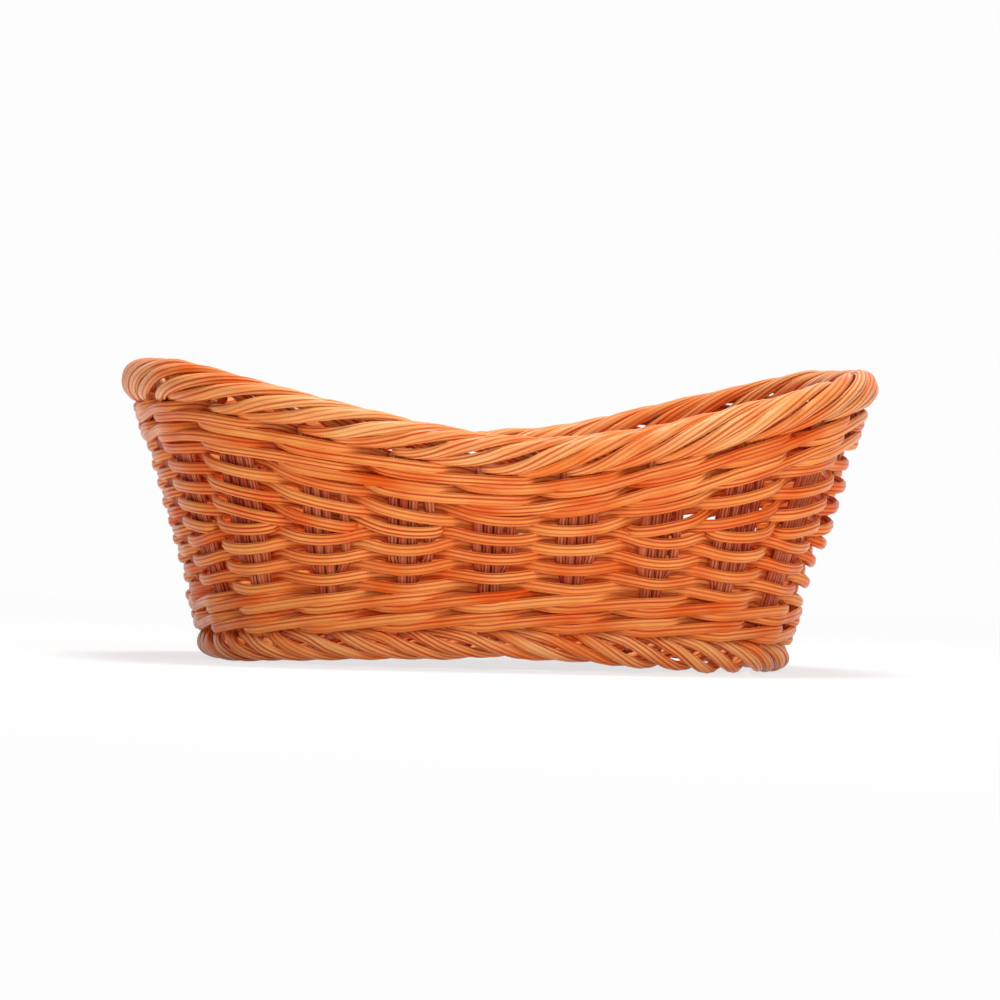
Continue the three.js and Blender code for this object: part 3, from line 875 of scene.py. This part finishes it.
def cane_material(name, colours, roughness):
    """Ribbed plastic cane: painted shade in the grooves, with a slow change of tone along it and fine
    scuffs.
    """
    material = bpy.data.materials.new(name)
    material.use_nodes = True
    tree = material.node_tree
    shader = tree.nodes["Principled BSDF"]
    shader.inputs["Specular IOR Level"].default_value = CANE_SPECULAR
    on_ridge = ridge_value(tree)
    tree.links.new(cane_colour(tree, on_ridge, *colours), shader.inputs["Base Color"])
    coordinates = tree.nodes.new("ShaderNodeTexCoord")
    scuffs = noise_value(tree, coordinates.outputs["Object"], SCUFF_SCALE, SCUFF_DETAIL)
    gloss = tree.nodes.new("ShaderNodeMapRange")
    gloss.inputs["To Min"].default_value = roughness - SMOOTHER
    gloss.inputs["To Max"].default_value = roughness + ROUGHER
    tree.links.new(scuffs, gloss.inputs["Value"])
    tree.links.new(gloss.outputs["Result"], shader.inputs["Roughness"])
    tree.links.new(cane_bump(tree, on_ridge, scuffs), shader.inputs["Normal"])
    return material


# Making the basket
def add_piece(name, canes, material, slot, *nodes):
    piece = bpy.data.objects.new(name, canes.mesh(name))
    bpy.context.scene.collection.objects.link(piece)
    piece.data.materials.append(material)
    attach(piece, "root")
    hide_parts(*nodes)


def make_stakes(chance):
    # Shaded copy of the cane's colours for the stakes' upright canes: painted shade
    upright = cane_material("stake_cane", SHADED_STAKE_COLOURS, STAKE_ROUGHNESS)
    # Lit copy of the cane's colours for the canes rolled into the rim and the foot: painted light
    rolled = cane_material("rope_cane", LIT_ROPE_COLOURS, WEAVER_ROUGHNESS)
    for index in range(STAKE_COUNT):
        number = f"{index + 1:02d}"
        node = f"stake_{number}"
        add_piece(f"stake_canes_{number}", stake_bundle(index, chance), upright, "stake", node)
        add_piece(f"stake_ends_{number}", stake_ends(index, chance), rolled, "weaver", node)


def make_weavers(chance):
    material = cane_material("weaver_cane", WEAVER_COLOURS, WEAVER_ROUGHNESS)
    for number, letter in enumerate("abc"):
        for level, row_bottom in (("lower", lower_wale_bottom), ("upper", upper_wale_bottom)):
            canes = wale_strand(number, row_bottom, chance)
            nodes = [f"{level}_wale_{letter}_{row + 1}" for row in range(WALE_ROWS)]
            add_piece(f"{level}_wale_cane_{letter}", canes, material, "weaver", *nodes)
    for number, letter in enumerate("ab"):
        canes = plain_weaver(number, chance)
        nodes = [f"plain_row_{row + 1}" for row in range(number, LOWER_ROWS + UPPER_ROWS, 2)]
        add_piece(f"side_weaver_{letter}", canes, material, "weaver", *nodes)
    for end, end_stake, direction in (("right", STAKE_COUNT // 4, 1), ("left", 3 * STAKE_COUNT // 4, -1)):
        canes = packing_weaver(end_stake, direction, chance)
        add_piece(f"packing_cane_{end}", canes, material, "weaver", f"end_packing_{end}")


def make_base(chance):
    material = cane_material("base_cane", BASE_COLOURS, BASE_ROUGHNESS)
    for index in range(BASE_STICKS):
        number = str(index + 1)
        canes = base_stick(index, chance)
        add_piece(f"base_stick_canes_{number}", canes, material, "base", f"base_stick_{number}")
    for index in range(BASE_TAPES):
        number = f"{index + 1:02d}"
        canes = base_weaver(index, chance)
        add_piece(f"base_weaver_canes_{number}", canes, material, "base", f"base_weaver_{number}")


# Surroundings
def white_for_camera(tree, seen, lit):
    """Mixes two shaders: seen where the camera, gloss or glass looks, lit for the light that is thrown."""
    nodes = tree.nodes
    links = tree.links
    path = nodes.new("ShaderNodeLightPath")
    first = nodes.new("ShaderNodeMath")
    first.operation = "ADD"
    first.use_clamp = True
    links.new(path.outputs["Is Camera Ray"], first.inputs[0])
    links.new(path.outputs["Is Glossy Ray"], first.inputs[1])
    second = nodes.new("ShaderNodeMath")
    second.operation = "ADD"
    second.use_clamp = True
    links.new(first.outputs["Value"], second.inputs[0])
    links.new(path.outputs["Is Transmission Ray"], second.inputs[1])
    mix = nodes.new("ShaderNodeMixShader")
    links.new(second.outputs["Value"], mix.inputs["Fac"])
    links.new(lit, mix.inputs[1])
    links.new(seen, mix.inputs[2])
    return mix.outputs["Shader"]


def make_world():
    world = bpy.data.worlds.new("studio")
    bpy.context.scene.world = world
    world.use_nodes = True
    tree = world.node_tree
    tree.nodes.clear()
    shaders = []
    for strength in (BACKGROUND_SEEN, ROOM_LIGHT):
        background = tree.nodes.new("ShaderNodeBackground")
        background.inputs["Color"].default_value = (1.0, 1.0, 1.0, 1.0)
        background.inputs["Strength"].default_value = strength
        shaders.append(background.outputs["Background"])
    output = tree.nodes.new("ShaderNodeOutputWorld")
    tree.links.new(white_for_camera(tree, *shaders), output.inputs["Surface"])


def grey(value):
    return value, value, value, 1.0


def seen_floor(tree):
    """The floor as the camera sees it: nearly white with a faint shadow, and far off the background."""
    nodes = tree.nodes
    links = tree.links
    shaded = nodes.new("ShaderNodeBsdfDiffuse")
    shaded.inputs["Color"].default_value = grey(FLOOR_SHADE)
    glow = nodes.new("ShaderNodeEmission")
    glow.inputs["Strength"].default_value = FLOOR_GLOW
    near = nodes.new("ShaderNodeAddShader")
    links.new(shaded.outputs["BSDF"], near.inputs[0])
    links.new(glow.outputs["Emission"], near.inputs[1])
    far = nodes.new("ShaderNodeEmission")
    far.inputs["Strength"].default_value = BACKGROUND_SEEN
    geometry = nodes.new("ShaderNodeNewGeometry")
    distance = nodes.new("ShaderNodeVectorMath")
    distance.operation = "LENGTH"
    links.new(geometry.outputs["Position"], distance.inputs[0])
    fade = nodes.new("ShaderNodeMapRange")
    fade.interpolation_type = "SMOOTHSTEP"
    fade.inputs["From Min"].default_value = FLOOR_FADE_FROM
    fade.inputs["From Max"].default_value = FLOOR_FADE_TO
    links.new(distance.outputs["Value"], fade.inputs["Value"])
    seen = nodes.new("ShaderNodeMixShader")
    links.new(fade.outputs["Result"], seen.inputs["Fac"])
    links.new(near.outputs["Shader"], seen.inputs[1])
    links.new(far.outputs["Emission"], seen.inputs[2])
    return seen.outputs["Shader"]


def make_floor():
    """A pale floor that throws back as much light as one, and shows a shadow only faintly."""
    half = FLOOR_HALF
    corners = [(-half, -half, 0), (half, -half, 0), (half, half, 0), (-half, half, 0)]
    mesh = bpy.data.meshes.new("floor")
    mesh.from_pydata(corners, [], [(0, 1, 2, 3)])
    floor = bpy.data.objects.new("floor", mesh)
    bpy.context.scene.collection.objects.link(floor)
    material = bpy.data.materials.new("floor_white")
    material.use_nodes = True
    tree = material.node_tree
    lit = tree.nodes["Principled BSDF"]
    lit.inputs["Base Color"].default_value = grey(FLOOR_COLOUR)
    lit.inputs["Roughness"].default_value = FLOOR_ROUGHNESS
    lit.inputs["Specular IOR Level"].default_value = FLOOR_SPECULAR
    shader = white_for_camera(tree, seen_floor(tree), lit.outputs["BSDF"])
    tree.links.new(shader, tree.nodes["Material Output"].inputs["Surface"])
    mesh.materials.append(material)


def add_lamp(name, place, size, power):
    data = bpy.data.lights.new(name, "AREA")
    data.shape = "DISK"
    data.size = size
    data.energy = power
    lamp = bpy.data.objects.new(name, data)
    bpy.context.scene.collection.objects.link(lamp)
    lamp.location = place
    lamp.rotation_euler = (Vector(LAMP_TARGET) - Vector(place)).to_track_quat("-Z", "Y").to_euler()


def make_camera():
    level = math.cos(CAMERA_TILT)
    back = Vector((math.sin(CAMERA_YAW) * level, -math.cos(CAMERA_YAW) * level, math.sin(CAMERA_TILT)))
    right = Vector((math.cos(CAMERA_YAW), math.sin(CAMERA_YAW), 0.0))
    target = right * TARGET_ASIDE + Vector((0.0, 0.0, TARGET_HEIGHT))
    data = bpy.data.cameras.new("camera")
    data.lens = CAMERA_LENS
    data.sensor_width = CAMERA_SENSOR
    camera = bpy.data.objects.new("camera", data)
    bpy.context.scene.collection.objects.link(camera)
    turn = Matrix((right, back.cross(right), back)).transposed()
    turn = turn @ Matrix.Rotation(CAMERA_ROLL, 3, "Z")
    camera.matrix_world = Matrix.Translation(target + back * CAMERA_DISTANCE) @ turn.to_4x4()
    bpy.context.scene.camera = camera


make_camera()
make_world()
make_floor()
add_lamp("key", *KEY_LAMP)
add_lamp("fill", *FILL_LAMP)
add_lamp("top", *TOP_LAMP)
chance = random.Random(SEED)
make_stakes(chance)
make_weavers(chance)
make_base(chance)
bpy.context.scene.view_settings.view_transform = "Standard"
